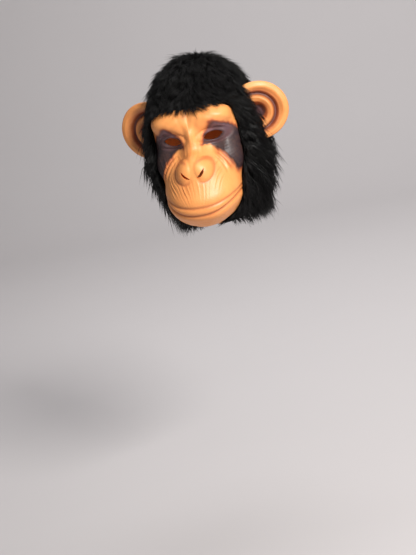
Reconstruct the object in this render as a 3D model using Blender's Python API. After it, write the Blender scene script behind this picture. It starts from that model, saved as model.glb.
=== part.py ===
"""An overhead ape mask: a hollow latex head with sunken eyes, a broad nose and a
heavy muzzle, two cupped latex ears, and a hood of black fur round the bare face."""

from collections import namedtuple

import bpy
import numpy as np

# Driving dimensions, in metres and degrees. The mask faces -Y, its wearer's left is
# +X, and the inside of its crown is at the origin.
HEAD_WIDTH = 0.160          # outside of the latex, across the skull
HEAD_DEPTH = 0.206          # outside of the latex, nape to forehead
HEAD_HEIGHT = 0.253         # outside of the latex, crown to chin
LATEX_WALL = 0.002
NECK_WIDTH = 0.122
NECK_DEPTH = 0.152
NECK_SKIRT = 0.008          # how far the neck runs on below the chin

EYE_WIDTH = 0.030
EYE_HEIGHT = 0.014
EYE_SPREAD = 0.066          # between the middles of the two eye openings
NOSE_WIDTH = 0.062
NOSE_RISE = 0.009
NOSTRIL_LENGTH = 0.018
NOSTRIL_WIDTH = 0.0042
NOSTRIL_SPREAD = 0.024
NOSTRIL_SLANT = 45.0
LIP_CREASE = 0.003          # depth of the line between the lips

EAR_WIDTH = 0.100           # of the whole round ear, part of which the head cuts off
EAR_HEIGHT = 0.094
EAR_STANDOFF = 0.013        # from the side of the skull to the middle of the ear
EAR_CUP = 0.014             # depth of the bowl
EAR_WALL = 0.003
EAR_FLARE = 17.0            # how far the ear turns to face outwards

FIT_GAP = 0.0003            # between two pieces
HOOD_EASE = 0.0006          # how much looser the backing lies than that
EAR_EASE = 0.0009           # that the hood and its locks leave round an ear
FUR_BACKING = 0.003
LOCK_ROOT = 0.007           # height of a lock where it leaves the backing
LOCK_SINK = 0.85            # how far its root goes into the backing, of its thickness
FUR_HEM = 0.010             # how far the lowest tips hang below the neck's rim
FUR_SEED = 5

# The rays that shape the head start here, as shares of its depth and height.
CORE_FORWARD = 0.049
CORE_DOWN = 0.577

# Each form is an ellipsoid. Its side, width and blend are shares of HEAD_WIDTH, its
# place forward and its depth of HEAD_DEPTH, and its drop and height of HEAD_HEIGHT.
Form = namedtuple("Form", "name side forward drop wide deep high blend paired")
SWELLS = (
    Form("skull", 0.0, -0.029, 0.395, 0.500, 0.500, 0.395, 0.0, False),
    Form("face", 0.0, 0.136, 0.466, 0.475, 0.350, 0.300, 0.100, False),
    Form("jowl", 0.0, -0.039, 0.680, 0.469, 0.398, 0.262, 0.125, False),
    Form("muzzle", 0.0, 0.388, 0.759, 0.381, 0.320, 0.229, 0.138, False),
    Form("lips", 0.0, 0.485, 0.838, 0.325, 0.267, 0.150, 0.113, False),
    Form("brow", 0.169, 0.379, 0.336, 0.225, 0.136, 0.067, 0.125, True),
    Form("cheekbone", 0.288, 0.320, 0.609, 0.150, 0.126, 0.095, 0.138, True),
)
SOCKET = Form("socket", 0.238, 0.544, 0.470, 0.144, 0.126, 0.083, 0.063, True)
NECK_BACK = 0.068           # the neck's middle behind the origin, of HEAD_DEPTH
NECK_TOP = 0.577            # where its tube starts, of HEAD_HEIGHT
NECK_BLEND = 0.163          # of HEAD_WIDTH

# Levels of the features below the crown, as shares of HEAD_HEIGHT.
EYE_DROP = 0.451
BRIDGE_DROP = 0.324
BRIDGE_RUN = 0.10           # over which the bridge rises from the brow
NOSE_DROP = 0.624
NOSE_END = 0.660
NOSTRIL_DROP = 0.638
LIP_TILT = -29.3            # the line between the lips, seen from the core

# Forms of the nose, as shares of NOSE_WIDTH, and their rises, as shares of NOSE_RISE.
BRIDGE_SPREAD = 0.14        # how wide the bridge spreads at its top
BRIDGE_FLARE = 0.12         # how much wider it is lower down
BRIDGE_RISE = 0.8
TIP_SPREAD = 0.24
TIP_REACH = 0.22            # how far the tip spreads up and down
TIP_RISE = 0.8
WING_SIDE = 0.25            # from the middle of the nose to the middle of a wing
WING_RADIUS = 0.32
WING_DROP = 0.614           # of HEAD_HEIGHT
BRIDGE_END_DROP = 0.564     # where the bridge starts to sink into the tip
FLARE_FROM = 0.38
FLARE_TO = 0.60

# The lips: degrees seen from the core, and shares of HEAD_WIDTH.
CREASE_SPREAD = 1.0
LIP_OFFSET = 2.4            # of each lip from the line between them
LIP_SPREAD = 1.6
LIP_RISE = 0.6              # of LIP_CREASE
MOUTH_END = 0.39
CREASE_FULL = 0.33          # inside which the line has its full depth
LIP_FULL = 0.30
RELIEF_BEHIND = 0.19        # of HEAD_DEPTH: no relief behind this, all of it before the next
RELIEF_BEFORE = 0.34
EAR_DROP = 0.403

# Columns and rows of the head's grid: angle at the end of a span, and steps in it.
# Columns run from the middle of the face to the nape, rows from the crown downwards.
Span = namedtuple("Span", "end steps")
COLUMN_SPANS = (Span(16.0, 4), Span(54.0, 6), Span(180.0, 9))
ROW_SPANS = (Span(44.0, 4), Span(-26.4, 14), Span(LIP_TILT, 2), Span(-32.2, 2))
RIM_ROWS = 4
HOOD_ROW_SPANS = (Span(44.0, 4), Span(-32.2, 6))
HOOD_RIM_ROWS = 3

# The outline of the bare face, in degrees as seen from the core.
Edge = namedtuple("Edge", "bearing tilt")
FACE_EDGE = (
    Edge(0.0, 42.8),
    Edge(30.0, 41.8),
    Edge(47.0, 37.9),
    Edge(52.0, 25.0),
    Edge(51.2, 9.6),
    Edge(46.0, -12.6),
    Edge(39.6, -28.9),
    Edge(34.0, -39.2),
    Edge(25.2, -45.3),
    Edge(15.5, -50.0),
    Edge(15.5, -76.0),
)

# Height of the ear's front and back, as shares of EAR_CUP, at shares of its radius.
Ring = namedtuple("Ring", "out height")
EAR_FRONT = (
    Ring(0.14, -0.90),
    Ring(0.30, -0.75),
    Ring(0.44, -0.15),
    Ring(0.56, 0.05),
    Ring(0.69, -0.35),
    Ring(0.82, 0.10),
    Ring(0.93, 0.28),
    Ring(1.00, 0.05),
)
EAR_BACK = (Ring(1.00, -0.10), Ring(0.86, -0.30), Ring(0.50, -0.85), Ring(0.20, -1.00))
EAR_SIDES = 18
EAR_SHIFT_IN = 0.14         # of the innermost ring to the head, of the ear's radius
EAR_SHIFT_DOWN = 0.12

# Rings of fur locks. They start at one tilt, between two bearings on each side, and
# fall and sweep by some degrees. Lift and width are shares of HEAD_WIDTH.
Tier = namedtuple("Tier", "tilt first last locks fall sweep lift width")
TIERS = (
    Tier(76.0, 20.0, 160.0, 3, 20.0, 0.0, 0.08, 0.26),
    Tier(58.0, 10.0, 165.0, 5, 17.0, 0.0, 0.09, 0.22),
    Tier(50.0, 7.0, 46.0, 4, 9.0, 2.0, 0.07, 0.14),
    Tier(42.0, 62.0, 168.0, 4, 17.0, 5.0, 0.10, 0.22),
    Tier(24.0, 62.0, 168.0, 5, 17.0, 6.0, 0.12, 0.21),
    Tier(6.0, 60.0, 168.0, 5, 17.0, 6.0, 0.15, 0.21),
    Tier(-11.0, 56.0, 168.0, 5, 16.0, 5.0, 0.18, 0.21),
    Tier(-26.0, 51.0, 168.0, 5, 15.0, 4.0, 0.17, 0.20),
    Tier(-40.0, 47.0, 168.0, 5, 14.0, 3.0, 0.11, 0.19),
)
WINDOW_NEAR = 0.15          # ends of the cone that frees the face, of HEAD_WIDTH
WINDOW_FAR = 1.60
EAR_ZONE = (80.0, 112.0, -6.0, 52.0)    # bearings and tilts that the locks leave free

LATEX = (0.80, 0.47, 0.21, 1.0)
FUR = (0.006, 0.006, 0.007, 1.0)


def level(drop):
    """Height of a place that lies a share of the head's height below the crown."""
    return LATEX_WALL - drop * HEAD_HEIGHT


CORE = np.array((0.0, -CORE_FORWARD * HEAD_DEPTH, level(CORE_DOWN)))
RIM_LEVEL = level(1.0) - NECK_SKIRT
HOOD_INNER = FIT_GAP + HOOD_EASE
HOOD_OUTER = HOOD_INNER + FUR_BACKING
FAR = 3.0 * HEAD_HEIGHT     # rays are followed inwards from here


def clear_scene():
    for item in list(bpy.data.objects):
        bpy.data.objects.remove(item, do_unlink=True)


def finish_material(name, colour, roughness):
    """Plain surface colour for one piece."""
    material = bpy.data.materials.new(name)
    material.use_nodes = True
    shader = material.node_tree.nodes["Principled BSDF"]
    shader.inputs["Base Color"].default_value = colour
    shader.inputs["Roughness"].default_value = roughness
    shader.inputs["Metallic"].default_value = 0.0
    return material


def ramp(start, end, value):
    """Smooth step from 0 at start to 1 at end."""
    share = np.clip((value - start) / (end - start), 0.0, 1.0)
    return share * share * (3.0 - 2.0 * share)


def bell(distance, width):
    """1 in the middle, falling away over a width."""
    return np.exp(-((distance / width) ** 2))


def melt(first, second, blend):
    """The lower of two distances, with a round fillet where they meet."""
    if blend <= 0.0:
        return np.minimum(first, second)
    share = np.clip(0.5 + 0.5 * (second - first) / blend, 0.0, 1.0)
    return second + (first - second) * share - blend * share * (1.0 - share)


def oval_distance(offsets, radii):
    """Rough distance from an ellipse or ellipsoid, less than zero inside it."""
    scaled = offsets / radii
    reach = np.linalg.norm(scaled, axis=-1)
    slope = np.linalg.norm(scaled / radii, axis=-1)
    return reach * (reach - 1.0) / np.maximum(slope, 1e-6)


def form_distance(points, form):
    """Distance from one form, or from the nearer of a pair."""
    centre = np.array((form.side * HEAD_WIDTH, -form.forward * HEAD_DEPTH, level(form.drop)))
    radii = np.array((form.wide * HEAD_WIDTH, form.deep * HEAD_DEPTH, form.high * HEAD_HEIGHT))
    spots = points.copy()
    if form.paired:
        spots[..., 0] = np.abs(spots[..., 0])
    return oval_distance(spots - centre, radii)


def neck_distance(points):
    """Distance from the upright tube of the neck, which has no lower end."""
    middle = np.array((0.0, NECK_BACK * HEAD_DEPTH))
    radii = np.array((NECK_WIDTH / 2.0, NECK_DEPTH / 2.0))
    tube = oval_distance(points[..., :2] - middle, radii)
    return np.maximum(tube, points[..., 2] - level(NECK_TOP))


def head_distance(points):
    """Distance from the head: its swells melted together, less the eye sockets."""
    distance = form_distance(points, SWELLS[0])
    for form in SWELLS[1:]:
        distance = melt(distance, form_distance(points, form), form.blend * HEAD_WIDTH)
    distance = melt(distance, neck_distance(points), NECK_BLEND * HEAD_WIDTH)
    return -melt(-distance, form_distance(points, SOCKET), SOCKET.blend * HEAD_WIDTH)


def outward(points):
    """Direction in which the distance from the head grows fastest."""
    slopes = []
    for axis in np.eye(3) * FIT_GAP:
        slopes.append(head_distance(points + axis) - head_distance(points - axis))
    slopes = np.stack(slopes, -1)
    return slopes / np.linalg.norm(slopes, axis=-1)[..., None]


def ray(bearing, tilt):
    """Direction from the core: bearing 0 is straight ahead, tilt 90 straight up."""
    turn, rise = np.radians(bearing), np.radians(tilt)
    return np.stack((np.sin(turn) * np.cos(rise), -np.cos(turn) * np.cos(rise), np.sin(rise)), -1)


def nose_and_lips(points, tilt):
    """How far the nose stands out of the face and the line of the lips sinks in."""
    side = np.abs(points[..., 0])
    height = points[..., 2]
    flare = BRIDGE_FLARE * ramp(level(FLARE_FROM), level(FLARE_TO), height)
    bridge = bell(side, NOSE_WIDTH * (BRIDGE_SPREAD + flare))
    bridge = bridge * ramp(level(BRIDGE_DROP), level(BRIDGE_DROP + BRIDGE_RUN), height)
    bridge = bridge * ramp(level(NOSE_END), level(BRIDGE_END_DROP), height)
    tip = bell(side, TIP_SPREAD * NOSE_WIDTH)
    tip = tip * bell(height - level(NOSE_DROP), TIP_REACH * NOSE_WIDTH)
    wing = np.hypot(side - WING_SIDE * NOSE_WIDTH, height - level(WING_DROP)) / NOSE_WIDTH
    wings = np.clip(1.0 - (wing / WING_RADIUS) ** 2, 0.0, 1.0)
    lift = NOSE_RISE * (BRIDGE_RISE * bridge + TIP_RISE * tip + wings)
    above = tilt - LIP_TILT
    mouth_end = MOUTH_END * HEAD_WIDTH
    crease = bell(above, CREASE_SPREAD) * ramp(mouth_end, CREASE_FULL * HEAD_WIDTH, side)
    lips = bell(np.abs(above) - LIP_OFFSET, LIP_SPREAD)
    lips = lips * ramp(mouth_end, LIP_FULL * HEAD_WIDTH, side)
    front = ramp(-RELIEF_BEHIND * HEAD_DEPTH, -RELIEF_BEFORE * HEAD_DEPTH, points[..., 1])
    return front * (lift + LIP_CREASE * (LIP_RISE * lips - crease))


def head_surface(bearing, tilt, offset, relief=True):
    """Where rays from the core leave the head, once it is grown by an offset."""
    direction = ray(bearing, tilt)
    reach = np.full(direction.shape[:-1], FAR)
    for _ in range(110):
        points = CORE + direction * reach[..., None]
        reach = reach - 0.85 * (head_distance(points) - offset)
    points = CORE + direction * reach[..., None]
    if not relief:
        return points
    return points + direction * nose_and_lips(points, tilt)[..., None]


def rim_tilt(bearing, offset, rim):
    """Tilt at which the surface comes down to the level of a rim, by halving."""
    low = np.full(bearing.shape, -84.0)
    high = np.full(bearing.shape, -36.0)
    for _ in range(26):
        middle = (low + high) / 2.0
        above = head_surface(bearing, middle, offset, False)[..., 2] > rim
        high = np.where(above, middle, high)
        low = np.where(above, low, middle)
    return (low + high) / 2.0


def span_angles(start, spans):
    """Angles from a start through each span."""
    angles = [start]
    for span in spans:
        angles.extend(np.linspace(angles[-1], span.end, span.steps + 1)[1:])
    return np.array(angles)


def head_grid(offset, row_spans, rim_rows, rim, relief=True):
    """Rows of points from the crown's pole to the rim, one loop of columns each."""
    half = span_angles(0.0, COLUMN_SPANS)
    bearing = np.concatenate((half, -half[-2:0:-1]))
    upper = span_angles(90.0, row_spans)[1:]
    last = rim_tilt(bearing, offset, rim)
    share = np.arange(1, rim_rows + 1)[:, None] / rim_rows
    lower = upper[-1] + (last - upper[-1]) * share
    tilt = np.concatenate((np.repeat(upper[:, None], len(bearing), 1), lower))
    pole = head_surface(np.zeros(1), np.full(1, 90.0), offset, False)
    return pole, head_surface(np.repeat(bearing[None], len(tilt), 0), tilt, offset, relief)


def grid_faces(rows, columns, start, outward):
    """Two triangles for each cell of a grid whose columns form loops."""
    faces = []
    for row in range(rows - 1):
        for column in range(columns):
            after = (column + 1) % columns
            above, beside = start + row * columns + column, start + row * columns + after
            below, across = above + columns, beside + columns
            pair = ((above, below, across), (above, across, beside))
            faces += pair if outward else [corner[::-1] for corner in pair]
    return faces


def fan_faces(pole, loop, outward):
    """Triangles from a pole to a loop of points."""
    faces = []
    for index, corner in enumerate(loop):
        after = loop[(index + 1) % len(loop)]
        faces.append((pole, corner, after) if outward else (after, corner, pole))
    return faces


def shell_mesh(name, outer, inner):
    """A closed wall between two grids that start at a pole and end at an open rim."""
    outer_pole, outer_grid = outer
    inner_pole, inner_grid = inner
    rows, columns = outer_grid.shape[:2]
    count = rows * columns
    verts = np.concatenate(
        (outer_grid.reshape(-1, 3), inner_grid.reshape(-1, 3), outer_pole, inner_pole)
    )
    faces = grid_faces(rows, columns, 0, True)
    faces += grid_faces(rows, columns, count, False)
    faces += fan_faces(2 * count, list(range(columns)), True)
    faces += fan_faces(2 * count + 1, list(range(count, count + columns)), False)
    last = (rows - 1) * columns
    for column in range(columns):
        after = (column + 1) % columns
        faces.append((last + after, last + column, count + last + column, count + last + after))
    return make_mesh(name, verts, faces)


def solid_mesh(name, outer):
    """The closed solid inside a grid, run on straight down to a flat floor."""
    pole, grid = outer
    grid = np.concatenate((grid, grid[-1:] - np.array((0.0, 0.0, NECK_SKIRT))))
    rows, columns = grid.shape[:2]
    last = (rows - 1) * columns
    verts = np.concatenate((grid.reshape(-1, 3), pole))
    faces = grid_faces(rows, columns, 0, True)
    faces += fan_faces(rows * columns, list(range(columns)), True)
    faces.append(tuple(range(last + columns - 1, last - 1, -1)))
    return make_mesh(name, verts, faces)


def make_mesh(name, verts, faces):
    """Mesh from points and faces, with every face turned outwards."""
    mesh = bpy.data.meshes.new(name)
    mesh.from_pydata([tuple(point) for point in np.asarray(verts, dtype=float)], [], faces)
    mesh.validate()
    mesh.shade_smooth()
    mesh.set_sharp_from_angle(angle=np.radians(50.0))
    return mesh


def add_object(name, mesh, material=None, parent=None):
    """Put a mesh into the scene as a named piece."""
    item = bpy.data.objects.new(name, mesh)
    bpy.context.collection.objects.link(item)
    if material:
        mesh.materials.append(material)
    item.parent = parent
    return item


def add_guide(name, mesh, parent=None):
    """A hidden solid that only shapes other pieces."""
    item = add_object(name, mesh, None, parent)
    item.hide_render = True
    item.display_type = "WIRE"
    return item


def combine(item, tool, operation, meets_itself=False):
    """Add or take away a guide."""
    step = item.modifiers.new(f"{operation.lower()}_{tool.name}", "BOOLEAN")
    step.operation = operation
    step.object = tool
    step.use_self = meets_itself


def gather(name, items):
    """A collection of guides that one step takes away together."""
    group = bpy.data.collections.new(name)
    bpy.context.scene.collection.children.link(group)
    for item in items:
        group.objects.link(item)
    return group


def prism(outline, near, far):
    """Points and faces of an outline in X and Z, carried along Y from near to far."""
    count = len(outline)
    front = [(x, near, z) for x, z in outline]
    back = [(x, far, z) for x, z in outline]
    faces = [tuple(range(count)), tuple(range(2 * count - 1, count - 1, -1))]
    for index in range(count):
        after = (index + 1) % count
        faces.append((after, index, count + index, count + after))
    return front + back, faces


def almond(width, height, slant, side, drop, steps=8):
    """Outline of a pointed oval, turned by a slant, anticlockwise from the front."""
    turn = np.radians(slant)
    run = np.linspace(-1.0, 1.0, steps + 1)
    across = np.concatenate((run, run[-2:0:-1])) * width / 2.0
    lower = -(1.0 - run ** 2)
    rise = np.concatenate((lower, -lower[-2:0:-1])) * height / 2.0
    x = side + across * np.cos(turn) - rise * np.sin(turn)
    z = level(drop) + across * np.sin(turn) + rise * np.cos(turn)
    return list(zip(x, z))


def face_holes():
    """One guide with the four prisms that open the eyes and the nostrils."""
    near = -0.95 * HEAD_DEPTH
    outlines = []
    for side in (-1.0, 1.0):
        outlines.append(almond(EYE_WIDTH, EYE_HEIGHT, 8.0 * side, side * EYE_SPREAD / 2.0, EYE_DROP))
        outlines.append(almond(
            NOSTRIL_LENGTH, NOSTRIL_WIDTH, NOSTRIL_SLANT * side, side * NOSTRIL_SPREAD / 2.0,
            NOSTRIL_DROP,
        ))
    verts, faces = [], []
    for outline in outlines:
        points, sides = prism(outline, near, -0.15 * HEAD_DEPTH)
        faces += [tuple(index + len(verts) for index in side) for side in sides]
        verts += points
    return add_guide("face_holes", make_mesh("face_holes", verts, faces))


def face_window():
    """Guide that frees the face from the hood: a cone from the core through its outline."""
    right = [(edge.bearing, edge.tilt) for edge in FACE_EDGE]
    left = [(-bearing, tilt) for bearing, tilt in right[:0:-1]]
    bearing, tilt = np.array(right + left).T
    direction = ray(bearing, tilt)
    count = len(direction)
    middle = direction.mean(0) / np.linalg.norm(direction.mean(0))
    ends = np.array((WINDOW_NEAR, WINDOW_FAR)) * HEAD_WIDTH
    verts = [CORE + direction * end for end in ends] + [[CORE + middle * end] for end in ends]
    faces = fan_faces(2 * count, list(range(count)), True)
    faces += fan_faces(2 * count + 1, list(range(count, 2 * count)), False)
    for index in range(count):
        after = (index + 1) % count
        faces.append((after, index, count + index, count + after))
    return add_guide("face_window", make_mesh("face_window", np.concatenate(verts), faces))


def ear_mesh(name, side, growth):
    """A round cup seen from the front: rings of points over its front and its back."""
    angle = 2.0 * np.pi * np.arange(EAR_SIDES) / EAR_SIDES
    across = EAR_WIDTH / 2.0 * np.cos(angle) * side
    up = EAR_HEIGHT / 2.0 * np.sin(angle)
    inwards = EAR_WIDTH / 2.0 * EAR_SHIFT_IN * side
    down = EAR_HEIGHT / 2.0 * EAR_SHIFT_DOWN
    rings = []
    for ring in EAR_FRONT:
        rings.append((ring.out, ring.height * EAR_CUP + growth))
    for ring in EAR_BACK:
        rings.append((ring.out, ring.height * EAR_CUP - EAR_WALL - growth))
    verts = []
    for out, height in rings:
        spread = out * (1.0 + 2.0 * growth / EAR_HEIGHT)
        middle = np.array((-inwards * (1.0 - out), -height, -down * (1.0 - out)))
        loop = middle + np.stack((across * spread, np.zeros(EAR_SIDES), up * spread), -1)
        verts.extend(loop)
    verts.append((-inwards, -rings[0][1], -down))
    verts.append((-inwards, -rings[-1][1], -down))
    count = len(rings) * EAR_SIDES
    outward = side > 0.0
    faces = grid_faces(len(rings), EAR_SIDES, 0, outward)
    faces += fan_faces(count, list(range(EAR_SIDES)), outward)
    faces += fan_faces(count + 1, list(range(count - EAR_SIDES, count)), not outward)
    return make_mesh(name, verts, faces)


def place_ear(item, side):
    """Stand an ear beside the skull, turned to face a little outwards."""
    item.location = (side * (HEAD_WIDTH / 2.0 + EAR_STANDOFF), 0.0, level(EAR_DROP))
    item.rotation_euler = (0.0, 0.0, np.radians(side * EAR_FLARE))


def build_ear(name, side, material, head_solid, parent):
    """One ear, cut to the curve of the head, and the guide that frees it from fur."""
    ear = add_object(name, ear_mesh(name, side, 0.0), material, parent)
    place_ear(ear, side)
    combine(ear, head_solid, "DIFFERENCE")
    clearance = add_guide(name + "_clearance", ear_mesh(name + "_clearance", side, EAR_EASE), parent)
    place_ear(clearance, side)
    return clearance


def lock_angles(draw):
    """Bearing, tilt, fall, sweep, lift and width of every lock, both sides."""
    rows = []
    for tier in TIERS:
        step = (tier.last - tier.first) / (tier.locks - 1)
        for index in range(tier.locks):
            for side in (-1.0, 1.0):
                bearing = tier.first + step * (index + draw.uniform(-0.15, 0.15))
                fall = tier.fall * draw.uniform(0.85, 1.15)
                lift = tier.lift * draw.uniform(0.8, 1.2)
                rows.append((side * bearing, tier.tilt, fall, side * tier.sweep, lift, tier.width))
    table = np.array(rows)
    return table[~near_ear(table)].T


def near_ear(table):
    """Which locks would start or end on an ear."""
    first, last, low, high = EAR_ZONE
    hits = np.zeros(len(table), dtype=bool)
    for share in (0.0, 0.5, 1.0):
        bearing = np.abs(table[:, 0] + table[:, 3] * share)
        tilt = table[:, 1] - table[:, 2] * share
        hits |= (bearing > first) & (bearing < last) & (tilt > low) & (tilt < high)
    return hits


def fur_locks():
    """Guide with all locks: each has a square root, a raised middle and a point."""
    draw = np.random.default_rng(FUR_SEED)
    bearing, tilt, fall, sweep, lift, width = lock_angles(draw)
    lift = (lift * HEAD_WIDTH)[:, None]
    sink = LOCK_SINK * FUR_BACKING
    half = (width * HEAD_WIDTH / 2.0)[:, None]
    root = head_surface(bearing, tilt, HOOD_OUTER, False)
    middle = head_surface(bearing + sweep / 2.0, tilt - fall / 2.0, HOOD_OUTER, False)
    tip = head_surface(bearing + sweep, tilt - fall, HOOD_OUTER, False)
    tip[:, 2] = np.maximum(tip[:, 2], RIM_LEVEL - FUR_HEM)
    out = outward(middle)
    across = np.cross(tip - root, out)
    across = across / np.linalg.norm(across, axis=-1)[:, None]
    corners = (
        root + across * 0.7 * half - out * sink,
        root - across * 0.7 * half - out * sink,
        root + out * LOCK_ROOT,
        middle + across * half + out * 0.25 * lift,
        middle - across * half + out * 0.25 * lift,
        middle + out * (LOCK_ROOT + 0.6 * lift),
        tip + out * lift,
    )
    verts = np.stack(corners, 1).reshape(-1, 3)
    count = len(corners)
    pattern = (
        (2, 1, 0), (1, 4, 3, 0), (2, 5, 4, 1), (0, 3, 5, 2),
        (4, 6, 3), (5, 6, 4), (3, 6, 5),
    )
    faces = []
    for index in range(len(root)):
        faces += [tuple(count * index + corner for corner in face) for face in pattern]
    return add_guide("fur_locks", make_mesh("fur_locks", verts, faces))


def build_mask():
    clear_scene()
    crown = bpy.data.objects.new("crown", None)
    bpy.context.collection.objects.link(crown)
    latex = finish_material("tan_latex", LATEX, 0.55)
    fur = finish_material("black_fur", FUR, 0.9)

    outer = head_grid(0.0, ROW_SPANS, RIM_ROWS, RIM_LEVEL)
    inner = head_grid(-LATEX_WALL, ROW_SPANS, RIM_ROWS, RIM_LEVEL)
    head = add_object("latex_head", shell_mesh("latex_head", outer, inner), latex, crown)
    combine(head, face_holes(), "DIFFERENCE")

    around = head_grid(FIT_GAP, ROW_SPANS, RIM_ROWS, RIM_LEVEL)
    head_solid = add_guide("head_clearance", solid_mesh("head_clearance", around))
    clearances = [
        build_ear("ear_left", 1.0, latex, head_solid, crown),
        build_ear("ear_right", -1.0, latex, head_solid, crown),
    ]

    cloth_outer = head_grid(HOOD_OUTER, HOOD_ROW_SPANS, HOOD_RIM_ROWS, RIM_LEVEL, False)
    cloth_inner = head_grid(HOOD_INNER, HOOD_ROW_SPANS, HOOD_RIM_ROWS, RIM_LEVEL, False)
    hood = add_object("fur_hood", shell_mesh("fur_hood", cloth_outer, cloth_inner), fur, crown)
    combine(hood, fur_locks(), "UNION", True)
    trim = hood.modifiers.new("trim_hood", "BOOLEAN")
    trim.operation = "DIFFERENCE"
    trim.operand_type = "COLLECTION"
    trim.collection = gather("hood_trimmers", [head_solid, face_window()] + clearances)


build_mask()
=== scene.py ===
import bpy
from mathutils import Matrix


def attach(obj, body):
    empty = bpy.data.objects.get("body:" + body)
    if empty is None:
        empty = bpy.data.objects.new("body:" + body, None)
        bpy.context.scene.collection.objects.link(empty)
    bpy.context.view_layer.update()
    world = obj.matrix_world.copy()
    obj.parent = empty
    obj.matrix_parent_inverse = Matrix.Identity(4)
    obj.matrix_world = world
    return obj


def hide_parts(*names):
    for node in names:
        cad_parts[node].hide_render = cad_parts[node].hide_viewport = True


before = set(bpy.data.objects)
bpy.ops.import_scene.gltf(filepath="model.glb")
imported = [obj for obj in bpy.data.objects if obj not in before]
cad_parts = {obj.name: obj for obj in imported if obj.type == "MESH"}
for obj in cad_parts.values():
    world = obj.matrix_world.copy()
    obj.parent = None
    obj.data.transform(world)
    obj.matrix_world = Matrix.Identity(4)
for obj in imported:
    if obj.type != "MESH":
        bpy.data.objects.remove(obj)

"""Looks of an overhead ape mask: painted latex head and ears, and a hood of black fur."""

from collections import namedtuple

import bpy
import numpy as np
from bpy.props import FloatProperty, FloatVectorProperty, IntProperty, PointerProperty
from mathutils import Matrix, Vector

bl_info = {
    "name": "Ape Mask",
    "version": (1, 0, 0),
    "blender": (4, 5, 0),
    "location": "3D View > Sidebar > Mask",
    "description": "Makes the painted latex head, the ears and the fur hood of an ape mask",
    "category": "Object",
}

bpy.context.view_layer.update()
BODY = "root"
TURN = 2.0 * np.pi
GOLDEN_ANGLE = 137.50776
NOISE_WAVES = 6

# Finding the head's surface: steps along a ray and the share of the distance that each one
# goes, halvings between two tilts for the rim, and the step in metres for a slope.
TRACE_STEPS, TRACE_SHARE = 46, 0.95
RIM_HALVINGS, RIM_TILTS = 22, (-84.0, -40.0)
SLOPE_STEP = 0.0004
SHARP_ANGLE = 60.0

# Each form is an ellipsoid. Its side, width and blend are shares of the head's width,
# its place forward and its depth of the depth, and its drop and height of the height.
Form = namedtuple("Form", "name side forward drop wide deep high blend paired")
SWELLS = (
    Form("skull", 0.0, -0.029, 0.395, 0.500, 0.500, 0.395, 0.0, False),
    Form("face", 0.0, 0.136, 0.466, 0.475, 0.350, 0.300, 0.100, False),
    Form("jowl", 0.0, -0.039, 0.680, 0.469, 0.398, 0.262, 0.125, False),
    Form("muzzle", 0.0, 0.388, 0.759, 0.381, 0.320, 0.229, 0.138, False),
    Form("lips", 0.0, 0.485, 0.838, 0.325, 0.267, 0.150, 0.113, False),
    Form("brow", 0.169, 0.379, 0.336, 0.225, 0.136, 0.067, 0.125, True),
    Form("cheekbone", 0.288, 0.320, 0.609, 0.150, 0.126, 0.095, 0.138, True),
)
SOCKET = Form("socket", 0.238, 0.544, 0.470, 0.144, 0.126, 0.083, 0.063, True)

# The neck's tube and the core that all rays start from, as shares of the head's sizes.
NECK_BACK = 0.068
NECK_TOP = 0.577
NECK_BLEND = 0.163
CORE_FORWARD = 0.049
CORE_DOWN = 0.577

# Levels of the features, as shares of the head's height below its crown.
EAR_DROP = 0.403
CAMERA_DROP = 0.419
EYE_DROP = 0.451
TIP_DROP = 0.620
NOSTRIL_DROP = 0.638
LIP_DROP = 0.896

# Ovals that relief and paint follow. Side and wide are shares of the head's width, drop
# and high of its height. All of the nose wing but its drop are shares of the nose's width.
Oval = namedtuple("Oval", "side drop wide high")
SOCKET_OVAL = Oval(0.290, 0.532, 0.200, 0.168)
MUZZLE_OVAL = Oval(0.000, 0.715, 0.375, 0.222)
WING_OVAL = Oval(0.270, 0.630, 0.235, 0.262)

# Lean and roundness of the socket's oval, above its middle and below it.
SOCKET_LEAN = (0.12, 0.22)
SOCKET_POWER = (1.5, 2.0)

# Metres that one step of an oval's distance stands for: socket, muzzle and nose wing.
SOCKET_STEP = 0.030
MUZZLE_STEP = 0.058
WING_STEP = 0.27

# The mouth: reach of its line, as a share of the head's width, its rise at the corners, as
# a share of the height, and its lean. The fold over the upper lip runs so many metres above
# the line in the middle, and so much closer to it at the corners.
LIP_REACH = 0.37
LIP_RISE = 0.090
LIP_LEAN = 0.045
FOLD_ABOVE = 0.0135
FOLD_CLOSER = 0.0075

# Wrinkles: gain, turns in one step of their own measure, and shift of each sine.
Wave = namedtuple("Wave", "gain turns shift")
MUZZLE_WAVES = (Wave(0.85, 6.5, 0.0), Wave(0.65, 11.3, 1.0), Wave(0.40, 19.0, 2.0))
SOCKET_WAVES = (Wave(1.0, 1.6, 0.0), Wave(0.5, 2.9, 2.0))
ARC_TURNS = 9.0
LINE_PITCH = 0.0062
SLANT_PITCH = 0.0145

# The deepest crease in metres, well inside the latex wall.
CREASE_LIMIT = 0.0016

# The outline of the bare face, in degrees as seen from the core.
Edge = namedtuple("Edge", "bearing tilt")
FACE_EDGE = (
    Edge(0.0, 42.8), Edge(30.0, 41.8), Edge(47.0, 37.9), Edge(52.0, 25.0), Edge(51.2, 9.6),
    Edge(46.0, -12.6), Edge(39.6, -28.9), Edge(34.0, -39.2), Edge(25.2, -45.3),
    Edge(15.5, -50.0), Edge(15.5, -76.0),
)

# Angle at the end of a span, and steps in it. A grid also has rows down to the open rim.
Span = namedtuple("Span", "end steps")
Grid = namedtuple("Grid", "columns rows rim_rows")
FINE_GRID = Grid((Span(56.0, 118), Span(180.0, 26)), (Span(46.0, 12), Span(-48.0, 200)), 26)
PLAIN_GRID = Grid((Span(180.0, 54),), (Span(46.0, 10), Span(-44.0, 34)), 6)

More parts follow.
